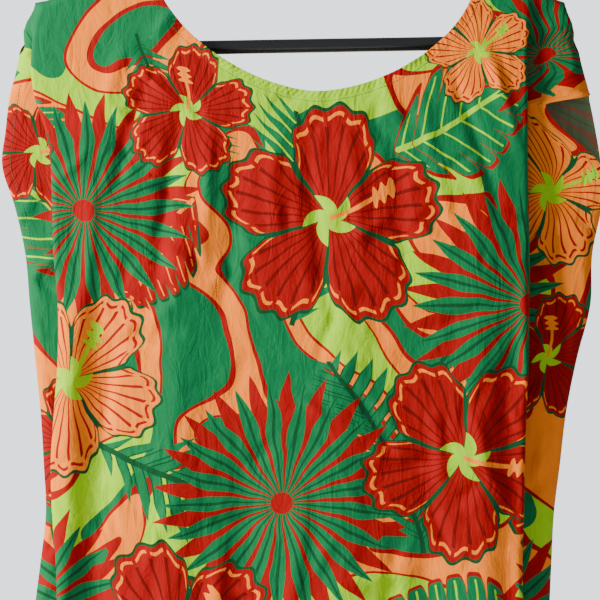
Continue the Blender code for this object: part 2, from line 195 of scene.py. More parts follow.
# The shoulder line past the hanger's tip: height, cloth from the neck's centre on the left and right
SHOULDER = (
    (-0.150, 0.2600, 0.2345),
    (-0.175, 0.2730, 0.2460),
    (-0.200, 0.2950, 0.2680),
    (-0.215, 0.3350, 0.2880),
    (-0.232, 0.3350, 0.3350),
)
BACK_FOLD_INSET = 0.014
LEAST_LAP = 0.002
print("at the hem the blouse hangs", round(HUNG[-1][4] - HUNG[-1][1], 3), "m wide")

# %% curves of the shoulder and the neck


def smooth(x):
    """0 below 0, 1 above 1, and the cubic 3x^2 - 2x^3 between."""
    x = np.clip(x, 0.0, 1.0)
    return x * x * (3 - 2 * x)


def read(rows, column, height):
    """A table's column at these heights: a cubic through each two rows with their mean slopes."""
    table = np.array(rows)[::-1]
    knots, values = table[:, 0], table[:, column]
    slopes = np.gradient(values, knots)
    height = np.clip(height, knots[0], knots[-1])
    k = np.clip(np.searchsorted(knots, height) - 1, 0, len(knots) - 2)
    step = knots[k + 1] - knots[k]
    s = (height - knots[k]) / step
    rise = (values[k + 1] - values[k]) * s * s * (3 - 2 * s)
    return values[k] + rise + step * s * (1 - s) * ((1 - s) * slopes[k] - s * slopes[k + 1])


def round_over(distance, radius):
    """0 at the edge, rising to 1 as a quarter circle."""
    s = np.clip(distance / radius, 0.0, 1.0)
    return np.sqrt(1 - (1 - s) ** 2)


def arm_top(x):
    """The hanger's top edge: a straight slope, a square term for its bow, and a small tilt."""
    return ARM_TOP - ARM_SLOPE * np.abs(x) - ARM_BOW * x * x + TILT * x


def shoulder_line(across):
    """The shoulder seam's height: along the hanger's arm, then through the table to the sleeve."""
    heights = [row[0] for row in SHOULDER]
    left = np.interp(-across, [row[1] for row in SHOULDER[:4]], heights[:4])
    right = np.interp(across, [row[2] for row in SHOULDER], heights)
    started = np.where(across < 0, -SHOULDER[0][1], SHOULDER[0][2])
    reach = np.where(across < 0, -ARM_REACH, ARM_REACH) - NECK_CENTRE
    tip = arm_top(reach + NECK_CENTRE) + RIDGE_RISE
    bridge = tip + (heights[0] - tip) * np.clip((across - reach) / (started - reach), 0, 1)
    line = np.where(np.abs(across) > np.abs(reach), bridge, arm_top(across + NECK_CENTRE) + RIDGE_RISE)
    return np.where(np.abs(across) > np.abs(started), np.where(across < 0, left, right), line)


def neck_line(across, face, grow=0.0):
    """The neck edge's height: a superellipse hung from just below the two shoulder seams."""
    half = NECK_HALF_WIDTH + grow
    depth = NECK_DEPTH + grow + (BACK_NECK_EXTRA if face == "back" else 0.0) - RIDGE_ROUND
    corner_left = shoulder_line(np.array(-half)) - RIDGE_ROUND
    corner_right = shoulder_line(np.array(half)) - RIDGE_ROUND
    corner = corner_left + (corner_right - corner_left) * np.clip((across / half + 1) / 2, 0, 1)
    ratio = np.clip(np.abs(across) / half, 0, 1)
    return corner - depth * (1 - ratio**NECK_ROUNDNESS) ** (1 / NECK_ROUNDNESS)


def hem_line(across):
    """The hem's height: level in the middle and lower at the sides."""
    return HEM_HEIGHT - HEM_SIDE_DROP * smooth(np.abs(across) / PANEL_HALF_WIDTH)


print("the neck's lowest point is at", round(float(neck_line(0.0, "front")), 3), "m")

# %% [markdown]
# ## Folds
#
# At each side the cloth runs out to the fold's edge, turns under, runs back and turns out again, so
# three layers lie on one another. In the cross section that is two arcs joined by straight runs,
# which keep the cloth's own length. Soft ridges hang below the chest, wide and few: their rows are
# the CAD's too.

# %% side folds


def fold_shape(face, across, height):
    """Where a side fold starts, its half turn, its turning angle and the cloth between its turns."""
    turn = read(TURN, 1 if face == "front" else 2, height)
    left = across < 0
    hung = np.where(left, NECK_CENTRE - read(HUNG, 1, height), read(HUNG, 4, height) - NECK_CENTRE)
    edge = np.where(left, NECK_CENTRE - read(HUNG, 2, height), read(HUNG, 3, height) - NECK_CENTRE)
    if face == "back":
        edge = edge - BACK_FOLD_INSET
    depths = [-row[0] for row in SHOULDER]
    cut_left = np.interp(-height, depths, [row[1] for row in SHOULDER])
    cut_right = np.interp(-height, depths, [row[2] for row in SHOULDER])
    lap = np.maximum((np.where(left, cut_left, cut_right) - hung) / 2, 0.0)
    angles = np.linspace(1e-3, math.pi, 200)
    angle = np.interp(lap / turn, 1 - np.sin(angles) / angles, angles)
    return edge - turn / math.pi, turn, angle, np.maximum(lap - turn, LEAST_LAP)


def across_fold(face, across, height):
    """X from the neck's centre, and how far back the fold has carried the cloth: straight, an arc
    through the turning angle, straight, an arc back to the first direction, and straight."""
    start, turn, angle, flat = fold_shape(face, across, height)
    radius = turn / angle
    run = np.abs(across)
    first = np.clip(run - start, 0, turn)
    middle = np.clip(run - start - turn, 0, flat)
    second = np.clip(run - start - turn - flat, 0, turn)
    rest = np.maximum(run - start - 2 * turn - flat, 0)
    left_over = angle - second / radius
    out = np.minimum(run, start) + radius * np.sin(first / radius) + middle * np.cos(angle)
    out = out + radius * (np.sin(angle) - np.sin(left_over)) + rest
    back = radius * (1 - np.cos(first / radius)) + middle * np.sin(angle)
    return np.where(across < 0, -out, out), back + radius * (np.cos(left_over) - np.cos(angle))


fold_reach, _ = across_fold("front", PANEL_HALF_WIDTH, -0.5)
print("half way down, the folded front reaches X", round(float(fold_reach) + NECK_CENTRE, 3), "m")

# %% hanging folds and open sleeves
# Largest hanging folds: across at the top and bottom, top and bottom height, half width, rise
FRONT_FOLDS = (
    (-0.222, -0.232, -0.40, -0.76, 0.011, 0.0060),
    (-0.196, -0.204, -0.38, -0.80, 0.014, -0.0065),
    (-0.120, -0.138, -0.30, -0.84, 0.020, 0.0045),
    (-0.060, -0.074, -0.52, -0.86, 0.018, -0.0050),
    (0.030, 0.022, -0.36, -0.86, 0.026, 0.0045),
    (0.098, 0.108, -0.50, -0.86, 0.017, -0.0045),
    (0.150, 0.158, -0.24, -0.80, 0.022, 0.0045),
    (0.176, 0.180, -0.42, -0.84, 0.012, -0.0040),
)
BACK_FOLDS = (
    (-0.170, -0.180, -0.24, -0.86, 0.022, 0.0050),
    (-0.095, -0.104, -0.34, -0.86, 0.018, -0.0045),
    (-0.020, -0.012, -0.28, -0.86, 0.026, 0.0050),
    (0.070, 0.078, -0.40, -0.86, 0.020, -0.0045),
    (0.135, 0.148, -0.24, -0.86, 0.022, 0.0050),
)


def hanging_folds(rows, across, height):
    """The sum of soft ridges: each a bell across, with a smooth start and end up and down."""
    total = np.zeros_like(across * height)
    for top_at, low_at, top, low, half_width, rise in rows:
        share = np.clip((top - height) / (top - low), 0, 1)
        bell = np.exp(-(((across - top_at - (low_at - top_at) * share) / half_width) ** 2))
        total = total + rise * bell * smooth((top - height) / 0.09) * smooth((height - low) / 0.05 + 0.35)
    return total


def sleeve_gape(across, height):
    """1 where the sleeve's front and back edges stand apart, 0 where they are joined."""
    top = np.where(across < 0, SLEEVE_END["left"], SLEEVE_END["right"])
    low = np.where(across < 0, UNDERARM["left"], UNDERARM["right"])
    opened = smooth((top - height) / np.where(across < 0, 0.022, 0.007)) * smooth((height - low) / 0.045)
    return opened * np.where(across < 0, 0.75, 1.0)


print(len(FRONT_FOLDS), "hanging folds on the front,", len(BACK_FOLDS), "on the back")

# %% [markdown]
# ## Creases
#
# Worn cotton keeps creases: long soft troughs that fan down from the neck and from the hanger's
# tips, cross creases where the blouse was folded away, and a light crumple all over. The long ones
# are listed one by one, each as a stroke with its own width and depth. A stroke wavers along its
# length, so that none is a straight bar. The crumple is many small strokes from one seeded list.

# %% creases listed one by one
# start across, start height, end across, end height, half width, depth (outwards is positive), in mm
FRONT_CREASES = (
    (-118, -232, -150, -420, 7, -1.9), (-96, -246, -104, -392, 6, 1.5), (-70, -262, -84, -470, 8, -1.7),
    (-38, -272, -34, -380, 6, 1.2), (-6, -268, 8, -440, 7, -1.6), (30, -262, 46, -410, 6, 1.4),
    (66, -250, 92, -430, 7, -1.8), (98, -232, 128, -380, 6, 1.6), (126, -200, 172, -360, 7, -1.9),
    (150, -180, 196, -300, 6, 1.5), (-148, -200, -186, -330, 7, -1.8), (-164, -176, -212, -280, 6, 1.6),
    (-20, -396, 60, -412, 9, -1.3), (70, -352, 140, -380, 7, 1.4), (-150, -372, -96, -402, 7, 1.4),
    (100, -452, 176, -430, 8, -1.7), (-190, -468, -120, -452, 7, -1.6), (-60, -520, 30, -536, 9, 1.5),
    (40, -590, 130, -566, 8, -1.7), (-170, -560, -90, -590, 8, 1.6), (-120, -640, -20, -626, 9, -1.6),
    (10, -690, 100, -672, 8, 1.5), (120, -640, 190, -660, 7, -1.4), (-196, -700, -110, -716, 8, 1.5),
    (-12, -596, -26, -770, 8, 1.7), (74, -620, 70, -780, 7, -1.7), (-84, -640, -92, -780, 7, 1.6),
    (150, -700, 156, -800, 6, 1.4), (-150, -680, -156, -800, 7, -1.6), (190, -380, 204, -560, 6, 1.4),
    (186, -560, 200, -760, 6, -1.2), (-204, -300, -214, -470, 6, 1.4), (-180, -400, -196, -600, 6, -1.3),
    (262, -280, 300, -420, 6, 1.2), (280, -300, 318, -500, 6, -1.2), (-278, -270, -310, -400, 6, 1.2),
    (-262, -300, -300, -520, 6, -1.1), (290, -520, 306, -760, 7, 1.1), (-296, -540, -310, -760, 7, 1.1),
)
BACK_CREASES = (
    (-110, -240, -146, -400, 7, -1.8), (-60, -262, -70, -420, 7, 1.5), (0, -262, 6, -400, 7, -1.6),
    (52, -256, 76, -420, 7, 1.6), (104, -232, 150, -390, 7, -1.8), (-160, -180, -200, -330, 7, 1.6),
    (156, -180, 196, -320, 7, -1.6), (-130, -470, -50, -450, 9, 1.5), (20, -500, 110, -520, 9, -1.6),
    (-40, -600, 50, -580, 9, 1.5), (-180, -620, -110, -650, 8, -1.6), (90, -650, 180, -630, 8, 1.5),
    (-20, -640, -30, -780, 8, -1.6), (70, -660, 66, -790, 7, 1.6), (-100, -660, -108, -790, 7, 1.5),
    (150, -560, 160, -770, 7, -1.5), (262, -300, 300, -460, 6, 1.1), (-262, -300, -302, -480, 6, -1.1),
)
CREASE_DEPTH = 2.5
MM = 0.001


def strokes(rows, across, height):
    """The sum of soft strokes. Each falls off as a bell from a line that wavers as a sine, and
    swells from nothing at both ends as a half sine."""
    total = np.zeros_like(across)
    for n, (a0, h0, a1, h1, half_width, depth) in enumerate(rows):
        run, fall = (a1 - a0) * MM, (h1 - h0) * MM
        length = math.hypot(run, fall)
        da, dh = across - a0 * MM, height - h0 * MM
        along = (da * run + dh * fall) / length**2
        waver = 0.0025 * np.sin(5.2 * along + 1.7 * n) * min(1, length / 0.08)
        aside = (da * fall - dh * run) / length - waver
        swell = np.sin(np.clip(along, 0, 1) * math.pi) ** 0.8
        total += CREASE_DEPTH * depth * MM * swell * np.exp(-((aside / (half_width * MM)) ** 2))
    return total


# %% a light crumple from a seed
CRUMPLE_STROKES = 420


def crumple_rows(seed):
    """Small seeded strokes all over the panel: 20 to 70 mm long, 3.4 to 6 mm wide, mostly upright."""
    random = np.random.default_rng(seed)
    a0 = random.uniform(-335, 335, CRUMPLE_STROKES)
    h0 = random.uniform(-810, -150, CRUMPLE_STROKES)
    turned = random.normal(0, 0.8, CRUMPLE_STROKES)
    length = random.uniform(20, 70, CRUMPLE_STROKES)
    a1, h1 = a0 + length * np.sin(turned), h0 - length * np.cos(turned)
    half_width = random.uniform(3.4, 6.0, CRUMPLE_STROKES)
    depth = np.clip(random.normal(0, 0.9, CRUMPLE_STROKES), -1.4, 1.4)
    return tuple(zip(a0, h0, a1, h1, half_width, depth))


CREASES = {"front": FRONT_CREASES + crumple_rows(3), "back": BACK_CREASES + crumple_rows(8)}
print(len(CREASES["front"]), "creases on the front,", len(CREASES["back"]), "on the back")

# %% [markdown]
# ## Where each point of a panel hangs
#
# One function places any point of the cut cloth, so the panels, the facing and the stitches all lie
# on the same surface. The front edge of the right sleeve is drawn in towards the shoulder, which
# leaves a notch that shows the inside of the back. It is a little sharper here than on the solid.

# %% from the cut cloth to the hanging blouse
NOTCH_PULL = 0.045
NOTCH_BULGE = 0.003
NOTCH_START = 0.004
NOTCH_RISE = 0.010
NOTCH_FADE = 0.066
NOTCH_FROM = 0.240


def hung_point(face, across, height):
    """A point of the panel. X follows the side fold, Z is its height, and Y is how far it stands
    off the hanger, with the large folds, the creases and the rounding at the seams."""
    front = face == "front"
    out, back = across_fold(face, across, height)
    below = shoulder_line(across) - height
    stand = read(STAND_OFF, 1 if front else 2, height) - back
    relief = hanging_folds(FRONT_FOLDS if front else BACK_FOLDS, across, height)
    # the layers of a side fold lie close together below the shoulder, so the creases fade there
    close = smooth((np.abs(across) - 0.180) / 0.02) * smooth((height + 0.30) / 0.06)
    relief = relief + strokes(CREASES[face], across, height) * (1 - 0.85 * close)
    closed_side = round_over(PANEL_HALF_WIDTH - np.abs(across), SIDE_ROUND)
    side = closed_side + (1 - closed_side) * sleeve_gape(across, height)
    depth = SEAM_GAP / 2 + (stand + relief * smooth(below / 0.05)) * round_over(below, RIDGE_ROUND) * side
    x = NECK_CENTRE + out
    if front:
        drop = SLEEVE_END["right"] - NOTCH_START - height
        pull = smooth(drop / NOTCH_RISE) * (1 - smooth((drop - NOTCH_RISE) / NOTCH_FADE))
        pull = pull * smooth((across - NOTCH_FROM) / (PANEL_HALF_WIDTH - NOTCH_FROM))
        x = x - NOTCH_PULL * pull
        depth = depth + NOTCH_BULGE * pull
    return np.stack([x, -depth if front else depth, height + 0 * x], axis=-1)


chest = hung_point("front", np.array([0.0]), np.array([-0.40]))[0]
print("the middle of the chest hangs at", chest.round(3))

# %% [markdown]
# ## The two panels
#
# A panel is a grid whose columns run down the cloth. The columns bunch where the side fold turns,
# and the rows bunch where the cloth turns over the shoulder. Between the shoulders the first rows
# are left out, and what is left starts at the neck's edge. Solidify then gives the sheet its
# thickness, and puts the paler wrong side of the print on the inner face.

# %% columns of a panel
# Stretches of columns down a side: first step, last step, how many columns
SIDE_STEPS = ((0, 1, 22), (1, 2, 8), (2, 3, 9), (3, 4, 8), (4, 5, 24), (5, 6, 7))
NECK_COLUMNS = 92


def neck_across(count, grow=0.0):
    """Cloth positions along the neck's edge, from left to right, bunched at its steep ends."""
    cosine = np.cos(np.linspace(math.pi, 0, count))
    return (NECK_HALF_WIDTH + grow) * np.sign(cosine) * np.abs(cosine) ** (2 / NECK_ROUNDNESS)


def side_across(face, sign, step, height):
    """Cloth position of a side column. Step 0 to 1 is neck to fold, 1 to 2 the first turn, 2 to 3
    the flat, 3 to 4 the second turn, 4 to 5 on to the edge, and 5 to 6 the rounding at the edge."""
    start, turn, _, flat = fold_shape(face, sign + 0 * height, height)
    outer = PANEL_HALF_WIDTH - SIDE_ROUND
    flat_end = start + turn + flat
    knots = [NECK_HALF_WIDTH + 0 * start, start, start + turn, flat_end, flat_end + turn, outer + 0 * start]
    place = outer + SIDE_ROUND * np.sin(np.clip(step - 5, 0, 1) * math.pi / 2)
    for k in range(4, -1, -1):
        place = np.where(step <= k + 1, knots[k] + (knots[k + 1] - knots[k]) * (step - k), place)
    return sign * place


print("a panel has", 2 * sum(row[2] for row in SIDE_STEPS) + NECK_COLUMNS, "columns")

# %% the grid of a panel
PANEL_ROWS = 168
SHOULDER_ROWS = 8


def panel_sheet(face):
    """Flat positions and heights of the panel's grid, and which cells are cloth. Each column's top
    lies on the shoulder line or the neck, and is found by repeated halving of what it is off by."""
    steps = np.concatenate([np.linspace(a, b, n, endpoint=False) for a, b, n in SIDE_STEPS] + [[6.0]])
    neck = neck_across(NECK_COLUMNS)[1:-1]
    side, middle = len(steps), len(neck)
    step = np.concatenate([steps[::-1], np.zeros(middle), steps])
    sign = np.concatenate([-np.ones(side), np.zeros(middle), np.ones(side)])
    fixed = np.concatenate([np.zeros(side), neck, np.zeros(side)])

    def place(height):
        """Across positions of every column at its own height."""
        return np.where(sign == 0, fixed, side_across(face, np.where(sign == 0, 1.0, sign), step, height))

    top = np.full(len(step), -0.18)
    for _ in range(80):
        across = place(top)
        edge = np.where(sign == 0, neck_line(across, face) + RIDGE_ROUND, shoulder_line(across))
        top = 0.5 * top + 0.5 * edge
    drops = RIDGE_ROUND * (1 - np.cos(np.radians(np.linspace(0, 90, SHOULDER_ROWS))))
    # rows bunch towards the top, where the notch and the shoulder are
    shares = np.linspace(0, 1, PANEL_ROWS)[1:] ** 1.35
    ridge = top - RIDGE_ROUND
    heights = [top - drop for drop in drops] + [ridge + (hem_line(across) - ridge) * s for s in shares]
    cells = np.ones((len(heights) - 1, len(step) - 1), bool)
    cells[: SHOULDER_ROWS - 1, side - 1 : side + middle] = False
    return np.array([place(row) for row in heights]), np.array(heights), cells


print("and", PANEL_ROWS - 1 + SHOULDER_ROWS, "rows")

# %% build the panels
CLOTH_THICKNESS = 0.0006


def neck_distance(face, across, height):
    """Distance from the neck's edge on the flat cloth, and how far along the edge it is nearest."""
    edge = neck_across(360)
    edge_height = neck_line(edge, face)
    along = np.cumsum(np.hypot(np.gradient(edge), np.gradient(edge_height)))
    away = np.hypot(across[..., None] - edge, height[..., None] - edge_height)
    return away.min(axis=-1), along[away.argmin(axis=-1)]


def thicken(piece, thickness):
    """Gives a sheet its wall, half on each side, with the next material on the inner face."""
    wall = piece.modifiers.new("cloth thickness", "SOLIDIFY")
    wall.thickness = thickness
    wall.offset = 0
    wall.material_offset = 1


def build_panel(face):
    """A panel of the blouse. The print is placed by the flat cloth, and the back's comes from another
    stretch of the same cloth. The back's columns run the other way, so that its faces point out."""
    across, height, cells = panel_sheet(face)
    grid = hung_point(face, across, height)
    flat = np.stack([across, height if face == "front" else -0.97 - height], -1)
    near_neck, along = neck_distance(face, across, height)
    if face == "back":
        grid, flat, cells = grid[:, ::-1], flat[:, ::-1], cells[:, ::-1]
        near_neck, along = near_neck[:, ::-1], along[:, ::-1]
    values = (("near_neck", near_neck), ("along_neck", along))
    panel = cloth_piece(face + "_panel", grid, flat, cells, values=values)
    thicken(panel, CLOTH_THICKNESS)
    return panel


front_panel = build_panel("front")
back_panel = build_panel("back")

# %% [markdown]
# ## The neck facing
#
# The neck edge is finished with a narrow bias strip of the same cloth, turned to the inside and
# stitched 7 mm from the edge. It shows wherever the eye looks into the neck. It is a ring: the
# neck's curve on the front and back, moved into the panel by a growing distance, and then inwards
# so that it lies inside the panels without touching them.

# %% build the facing
FACING_WIDTH = 0.007
FACING_INSET = 0.0007
FACING_THICKNESS = 0.0005
FACING_ON_CLOTH = {"front": -0.3, "back": -0.7}


def unit(vectors):
    """Vectors over their own length."""
    return vectors / np.linalg.norm(vectors, axis=-1, keepdims=True)


def facing_line(face, grow):
    """The neck's edge on one panel moved into it by grow, from seam to seam over both shoulders,
    and its place on the flat cloth."""
    neck = neck_across(110, grow)
    height = neck_line(neck, face, grow)
    over = RIDGE_ROUND * np.cos(np.radians(np.linspace(0, 90, 8, endpoint=False)))
    across = np.concatenate([neck[:1].repeat(8), neck, neck[-1:].repeat(8)])
    height = np.concatenate([height[0] + over, height, (height[-1] + over)[::-1]])
    points = hung_point(face, across, height)
    points[[0, -1], 1] = 0.0
    flat = np.stack([across, np.full(len(across), grow + FACING_ON_CLOTH[face])], -1)
    return (points, flat) if face == "front" else (points[-2:0:-1], flat[-2:0:-1])


facing_lines = []
for grow in np.linspace(0.0001, FACING_WIDTH, 5):
    both = zip(facing_line("front", grow), facing_line("back", grow))
    facing_lines.append([np.concatenate(pair) for pair in both])
ring = np.array([points for points, _ in facing_lines])
along_ring = (np.roll(ring, -1, axis=1) - np.roll(ring, 1, axis=1)) / 2
inwards = -unit(np.cross(np.gradient(ring, axis=0), along_ring))
facing_flat = np.array([flat for _, flat in facing_lines])
facing = cloth_piece("neck_facing_strip", ring + inwards * FACING_INSET, facing_flat, closed=True)
thicken(facing, FACING_THICKNESS)
facing_length = np.linalg.norm(ring - np.roll(ring, 1, axis=1), axis=-1).sum(axis=1).mean()
print("the facing is", round(facing_length, 3), "m round")

# %% [markdown]
# ## Stitches
#
# A seam is drawn by its thread. A painted line would lie flat, so each stitch is a tiny spindle that
# lies on the cloth, 2.4 mm long with a gap of 0.8 mm, along the neck, the hem and the sleeves. The
# thread is 0.5 mm thick here, twice the real one, so that it shows.

# %% a row of stitches
STITCH_LENGTH = 0.0024
STITCH_GAP = 0.0008
THREAD_RADIUS = 0.00025
THREAD_LIFT = 0.0004
STITCH_RINGS = 5
STITCH_SIDES = 6


def stitch_row(name, line, outward):
    """Spindles along a line of points. Each is a tube of 6 sides whose radius is a half sine along
    it, and it is spaced by the line's own length."""
    lengths = np.concatenate([[0], np.cumsum(np.linalg.norm(np.diff(line, axis=0), axis=1))])
    count = int(lengths[-1] / (STITCH_LENGTH + STITCH_GAP))
    s = np.linspace(0, 1, STITCH_RINGS)
    at = np.arange(count)[:, None] * lengths[-1] / count + s * STITCH_LENGTH
    middle = np.stack([np.interp(at, lengths, line[:, k]) for k in range(3)], -1)
    lift = np.stack([np.interp(at, lengths, outward[:, k]) for k in range(3)], -1)
    ahead = unit(np.gradient(middle, axis=1))
    beside = unit(np.cross(ahead, lift))
    above = np.cross(beside, ahead)
    radius = THREAD_RADIUS * np.clip(np.sin(s * math.pi), 0.15, 1) ** 0.5
    turns = np.linspace(0, 2 * math.pi, STITCH_SIDES, endpoint=False)[:, None]
    around = np.cos(turns) * beside[:, :, None, :] + np.sin(turns) * above[:, :, None, :]
    points = (middle + lift * THREAD_LIFT)[:, :, None, :] + around * radius[None, :, None, None]
    first = np.arange(count)[:, None] * STITCH_RINGS * STITCH_SIDES
    sides = grid_quads(STITCH_RINGS, STITCH_SIDES, closed=True).reshape(-1, 4) + first[:, None]
    near_end = first + np.arange(STITCH_SIDES)
    far_end = near_end[:, ::-1] + (STITCH_RINGS - 1) * STITCH_SIDES
    return new_piece(name, points, sides.reshape(-1, 4).tolist() + near_end.tolist() + far_end.tolist())


def surface_line(face, across, height):
    """Points and outward normals of the panel along a line on the cut cloth."""
    step = 2e-4
    down = hung_point(face, across, height - step) - hung_point(face, across, height + step)
    beside = hung_point(face, across + step, height) - hung_point(face, across - step, height)
    normals = unit(np.cross(down, beside))
    return hung_point(face, across, height), normals if face == "front" else -normals


print("a stitch has", STITCH_RINGS * STITCH_SIDES, "points")

# %% stitch the neck, the hem and the sleeves
HEM_ALLOWANCE = 0.012
SLEEVE_ALLOWANCE = 0.008


def seam_lines(face):
    """Across and height of each row of stitches on one panel, by name."""
    neck = neck_across(200, FACING_WIDTH)[3:-3]
    yield "neck_stitches_", neck, neck_line(neck, face, FACING_WIDTH)
    hem = np.linspace(-0.328, 0.328, 500)
    yield "hem_stitches_", hem, hem_line(hem) + HEM_ALLOWANCE
    for side, sign in (("left", -1), ("right", 1)):
        sleeve = np.linspace(SLEEVE_END[side] - 0.012, UNDERARM[side] + 0.01, 120)
        yield side + "_sleeve_stitches_", np.full(120, sign * (PANEL_HALF_WIDTH - SLEEVE_ALLOWANCE)), sleeve


stitching = {"front": [], "back": []}
for face, rows in stitching.items():
    for name, across, height in seam_lines(face):
        rows.append(stitch_row(name + face, *surface_line(face, across, height)))

# %% [markdown]
# ## The hanger
#
# A plain wooden coat hanger with a round bar and a wire hook. The arms are one run of sections from
# tip to tip, each a rectangle with rounded corners, as wide as the CAD's. The bar and the hook are
# circles carried along a path. A run of sections keeps every edge where the tables put it, which a
# bevel on a box wouldn't.

# %% a closed piece from a run of sections


def solid_run(name, sections):
    """A closed piece from a run of sections: quads between them and a face at each end."""
    rows, columns = sections.shape[:2]
    sides = grid_quads(rows, columns, closed=True)[..., ::-1].reshape(-1, 4)
    first_end = list(range(columns))[::-1]
    last_end = [(rows - 1) * columns + k for k in range(columns)]
    made = new_piece(name, sections, sides.tolist() + [first_end, last_end])
    made.data.set_sharp_from_angle(angle=math.radians(45))
    return made


def tube_sections(path, radius, sides):
    """Circles of points square to a path that lies in a plane of constant Y."""
    ahead = unit(np.gradient(path, axis=0))
    beside = unit(np.cross((0.0, 1.0, 0.0), ahead))
    above = np.cross(ahead, beside)
    turns = np.linspace(0, 2 * math.pi, sides, endpoint=False)[:, None]
    return path[:, None] + radius * (np.cos(turns) * beside[:, None] + np.sin(turns) * above[:, None])


# %% the hanger's arms
ARM_THICKNESS = 0.0135
ARM_CORNER = 0.0055
# Half of the arms' outline: distance from the middle, underside, drop of the top, share of thickness
ARM_OUTLINE = (
    (0.000, -0.106, 0.000, 1.00),
    (0.030, -0.112, 0.000, 1.00),
    (0.060, -0.119, 0.000, 1.00),
    (0.095, -0.127, 0.000, 1.00),
    (0.130, -0.135, 0.000, 1.00),
    (0.160, -0.1445, 0.000, 1.00),
    (0.1755, -0.1530, 0.000, 1.00),
    (0.1764, -0.176, 0.000, 1.00),
    (0.1769, -0.198, 0.000, 1.00),
    (0.200, -0.202, 0.001, 0.86),
    (0.212, -0.198, 0.003, 0.64),
    (0.221, -0.186, 0.008, 0.50),
    (0.226, -0.172, 0.017, 0.36),
)


def arm_sections():
    """Sections across the arms from tip to tip: each a rectangle with rounded corners, whose radius
    is 5.5 mm or, where the arm thins, 0.8 of its half thickness."""
    table = np.array(ARM_OUTLINE)
    half = np.unique(np.concatenate([table[:, 0], np.linspace(0, ARM_REACH, 46)]))
    x = np.concatenate([-half[:0:-1], half])
    low = np.interp(np.abs(x), table[:, 0], table[:, 1]) + TILT * x
    top = arm_top(x) - np.interp(np.abs(x), table[:, 0], table[:, 2])
    thick = ARM_THICKNESS * np.interp(np.abs(x), table[:, 0], table[:, 3]) / 2
    radius = np.minimum(ARM_CORNER, thick * 0.8)
    corners = []
    for sy, sz, first in ((1, 1, 0), (-1, 1, 90), (-1, -1, 180), (1, -1, 270)):
        turned = np.radians(first + np.linspace(0, 90, 7))
        y = sy * (thick - radius)[:, None] + radius[:, None] * np.cos(turned)
        z = np.where(sz > 0, top - radius, low + radius)[:, None] + radius[:, None] * np.sin(turned)
        corners.append(np.stack([x[:, None] + 0 * y, y, z], -1))
    return np.concatenate(corners, axis=1)


hanger_arms = solid_run("hanger_arms_wood", arm_sections())

# %% the bar and the hook
BAR_HEIGHT = -0.190
BAR_RADIUS = 0.0065
BAR_REACH = 0.1764
HOOK_RADIUS = 0.019
HOOK_MIDDLE = -0.017
WIRE_RADIUS = 0.002
# Across and height of the hook's stem, from the arms up to the start of its round
HOOK_STEM = (
    (0.0, ARM_TOP + SEAM_GAP),
    (0.0, -0.0620),
    (0.0, -0.0560),
    (0.0002, -0.0515),
    (0.0008, -0.0475),
    (0.0022, -0.0437),
    (0.0040, -0.0400),
)

bar_x = np.linspace(-BAR_REACH + SEAM_GAP, BAR_REACH - SEAM_GAP, 24)
bar_path = np.stack([bar_x, 0 * bar_x, BAR_HEIGHT + TILT * bar_x], -1)
hanger_bar = solid_run("hanger_bar_wood", tube_sections(bar_path, BAR_RADIUS, 32))
hook_turns = np.radians(np.linspace(-58, 200, 72))
hook_round = HOOK_RADIUS * np.stack([np.cos(hook_turns), np.sin(hook_turns)], -1) + (0, HOOK_MIDDLE)
hook_path = np.insert(np.concatenate([HOOK_STEM, hook_round]), 1, 0.0, axis=1)
hanger_hook = solid_run("hanger_hook_wire", tube_sections(hook_path, WIRE_RADIUS, 16))

# %% [markdown]
# ## Colours and nodes
#
# Colours are the sRGB hex values that a designer would name. One function turns them to the linear
# values that the shader needs, and one adds a node with its settings and its links. Below, "node"
# is that second function with its tree already given.

# %% colour and node helpers


def linear(hex_colour):
    """sRGB hex to linear: each channel over 12.92 up to 0.04045, else ((c + 0.055) / 1.055)^2.4."""
    channels = [int(hex_colour[k : k + 2], 16) / 255 for k in (1, 3, 5)]
    return (*[c / 12.92 if c <= 0.04045 else ((c + 0.055) / 1.055) ** 2.4 for c in channels], 1.0)


def add_node(tree, kind, *sources, **settings):
    """Adds a node, such as "Math.ADD" or "Bump", and feeds its inputs in turn from the sources: a
    node, a socket, a value, or None to leave one as it is."""
    kind, _, operation = kind.partition(".")
    made = tree.nodes.new("ShaderNode" + kind)
    if operation:
        made.operation = operation
    for name, value in settings.items():
        setattr(made, name, value)
    for socket, source in zip(made.inputs, sources):
        if isinstance(source, bpy.types.Node):
            source = source.outputs[0]
        if isinstance(source, bpy.types.NodeSocket):
            tree.links.new(source, socket)
        elif source is not None:
            socket.default_value = source
    return made


print("mid grey in linear light is", round(linear("#808080")[0], 3))

# %% [markdown]
# ## The print
#
# A Hawaiian print is screen printed in a few flat inks: here lime, apricot, red and two greens. This
# one is a generic tropical design of hibiscus blooms, fan palms, feather fronds and ribbed leaves
# over flowing patches of colour. It could be painted as a picture, but formulas stay sharp at any
# distance. Each plant is a node group: a formula in the plant's own centred, turned and scaled
# coordinates, where 1 is its tip. It is laid over what is below, as inks are.

# %% inks and how one is laid over another
INKS = {
    "lime": "#93c800",
    "apricot": "#ee7c12",
    "red": "#930000",
    "deep_red": "#640000",
    "green": "#08683a",
    "deep_green": "#034422",
}


def lay(node, below, ink, mask):
    """Prints an ink over what is below, where the mask is 1."""
    return node("MixRGB", mask, below, linear(INKS[ink]))


def sector(node, angle, parts, offset):
    """The angle cut into equal parts, with t from -1 to 1 across each: 2 fract(angle) - 1."""
    turns = node("Math.MULTIPLY_ADD", angle, parts / (2 * math.pi), parts + offset)
    return node("Math.MULTIPLY_ADD", node("Math.FRACT", turns), 2, -1)


print("inks", ", ".join(INKS))

